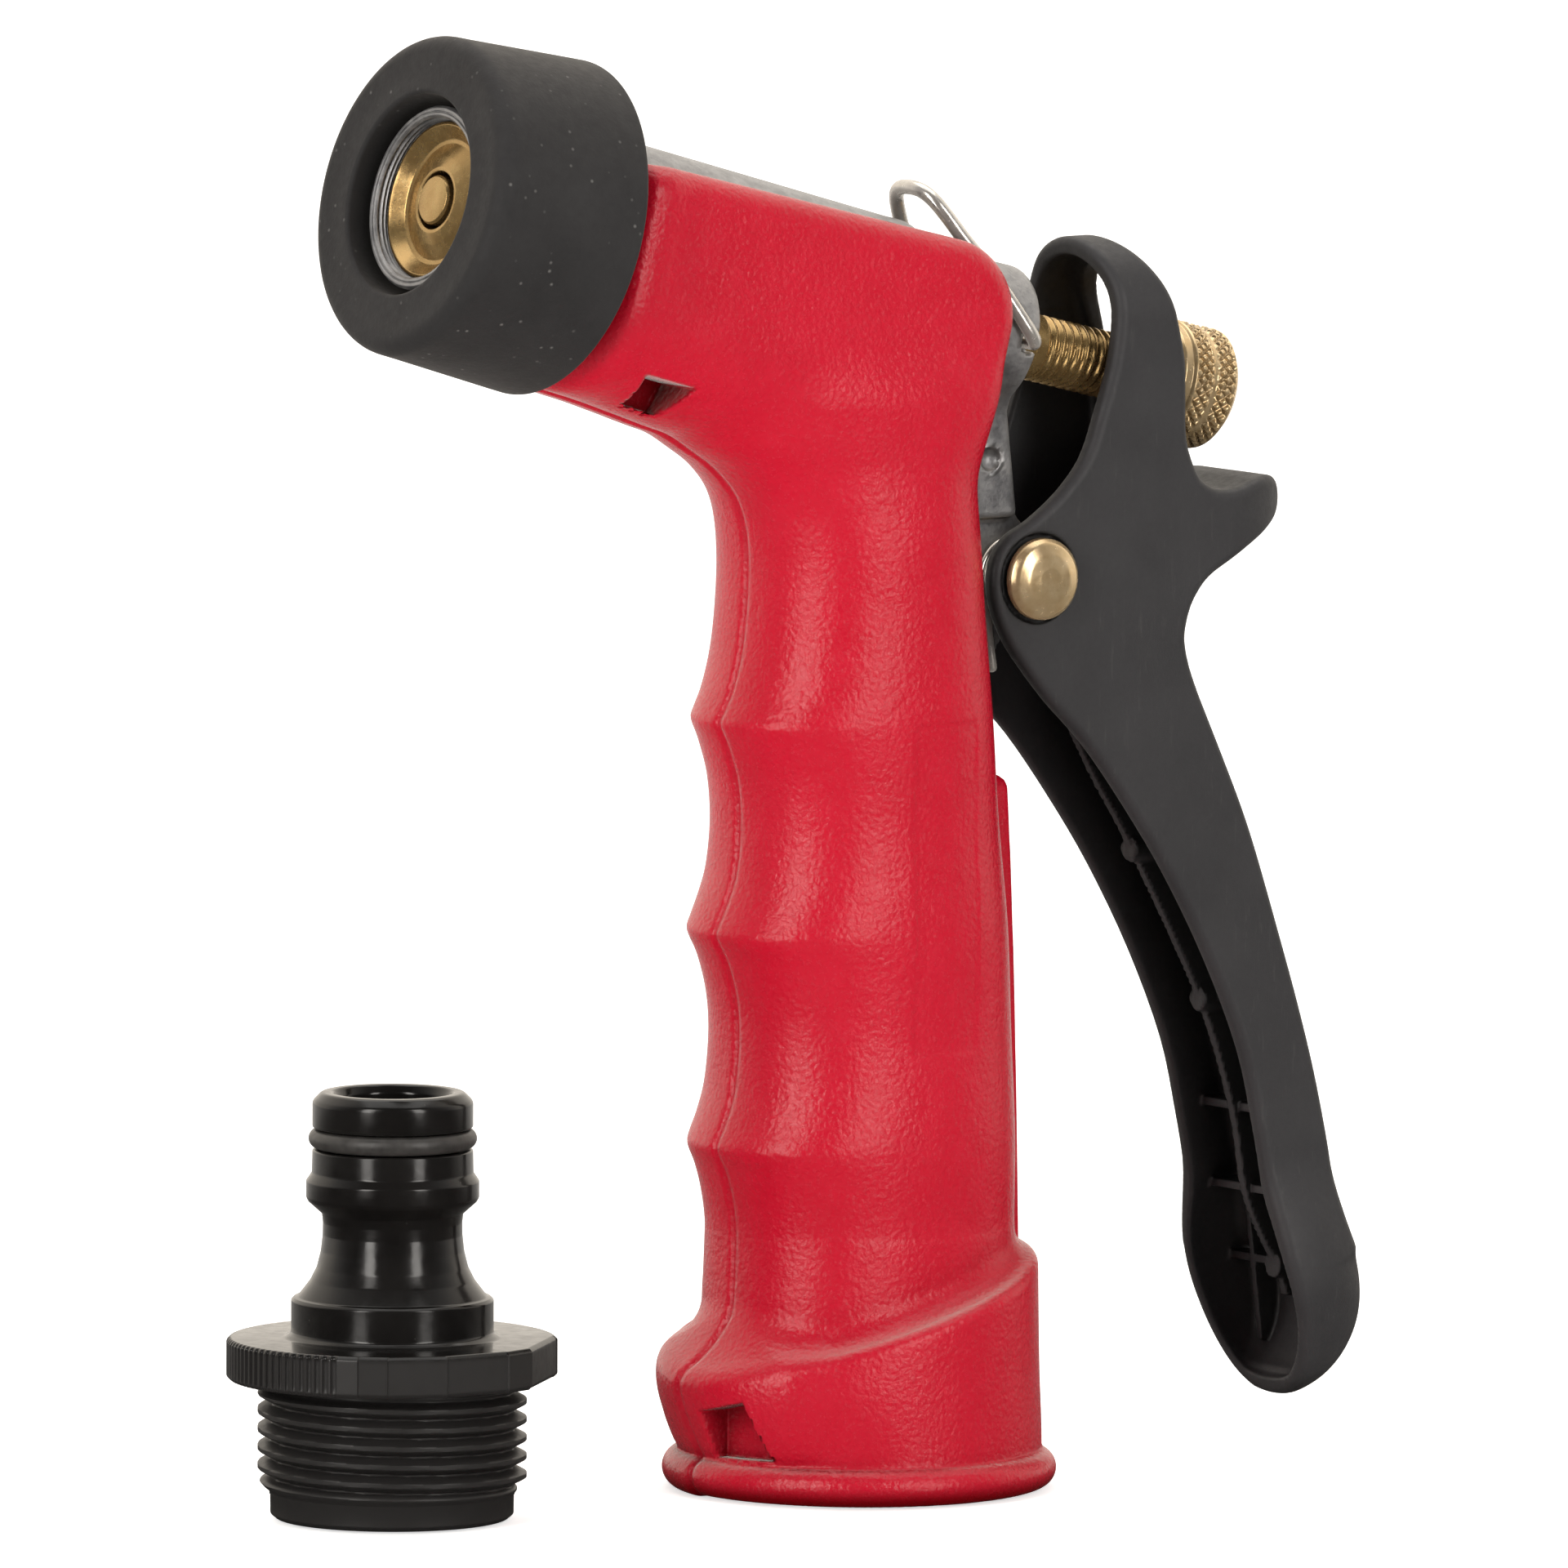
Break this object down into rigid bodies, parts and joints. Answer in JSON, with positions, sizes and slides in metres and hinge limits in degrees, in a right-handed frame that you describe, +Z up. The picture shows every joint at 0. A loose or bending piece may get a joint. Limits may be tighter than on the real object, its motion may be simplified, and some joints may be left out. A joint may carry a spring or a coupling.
{
  "type": "pistol-grip spray nozzle",
  "caption": "Hand-held pistol-grip hose spray nozzle with rear squeeze lever, adjustable brass valve stem, hold-open clip and a loose quick-connect adapter.",
  "frame": {"origin": "centre of the inlet ring's bottom face", "axes": "+Z up along the grip, the jet leaves towards -Y and slightly up, the squeeze lever is on the +Y side, +X is the side of the domed pin head"},
  "size_m": [0.0413, 0.127, 0.1477],
  "materials": {
    "red_cover": "semi-gloss moulded vinyl with a fine leathery grain",
    "black_rubber": "matte",
    "lever_black": "matte, fine spark texture",
    "adapter_black": "gloss",
    "zinc": "die-cast grey",
    "brass": "machined",
    "spring_steel": "drawn wire",
    "seal_rubber": "smooth",
    "white_plastic": "plain",
    "screen_steel": "woven"
  },
  "bodies": {
    "body": {"body_casting": "zinc", "grip_cover": "red_cover", "front_bumper": "black_rubber", "valve_seat": "brass", "seat_gasket": "seal_rubber", "gland_bush": "brass", "backup_washer": "white_plastic", "stem_o_rings": "seal_rubber", "return_spring": "spring_steel", "lever_spring": "spring_steel", "hose_washer": "seal_rubber", "inlet_screen": "screen_steel"},
    "stem": {"valve_stem": "brass", "valve_washer": "seal_rubber", "washer_retainer": "brass"},
    "nut": {"adjusting_nut": "brass"},
    "lever": {"lever": "lever_black", "pivot_pin": "brass", "pin_cap": "brass"},
    "clip": {"hold_open_clip": "spring_steel"},
    "adapter": {"adapter_body": "adapter_black", "adapter_o_ring": "seal_rubber"}
  },
  "joints": [
    {"name": "lever_squeeze", "type": "hinge", "parent": "body", "child": "lever", "pos_m": [0, 0.0158, 0.0908], "axis": [-1, 0, 0], "range_deg": [0, 14], "stiffness_Nm_per_rad": 0.1, "springref_deg": -8.59, "deforming": ["lever_spring"]},
    {"name": "stem_slide", "type": "slide", "parent": "body", "child": "stem", "axis": [0, 0.969, -0.247], "range_m": [0, 0.0044], "deforming": ["return_spring"]},
    {"name": "nut_turn", "type": "hinge", "parent": "stem", "child": "nut", "pos_m": [0, 0.03779, 0.10867], "axis": [0, 0.969, -0.247], "continuous": true},
    {"name": "clip_swing", "type": "hinge", "parent": "body", "child": "clip", "pos_m": [0, 0.0152, 0.1144], "axis": [-1, 0, 0], "range_deg": [0, 56]},
    {"name": "adapter_lift", "type": "slide", "parent": "body", "child": "adapter", "axis": [0, 0, 1], "range_m": [0, 0.04]}
  ],
  "couplings": [
    {"joint": "stem_slide", "follows": "lever_squeeze", "m_per_rad": 0.0172}
  ]
}
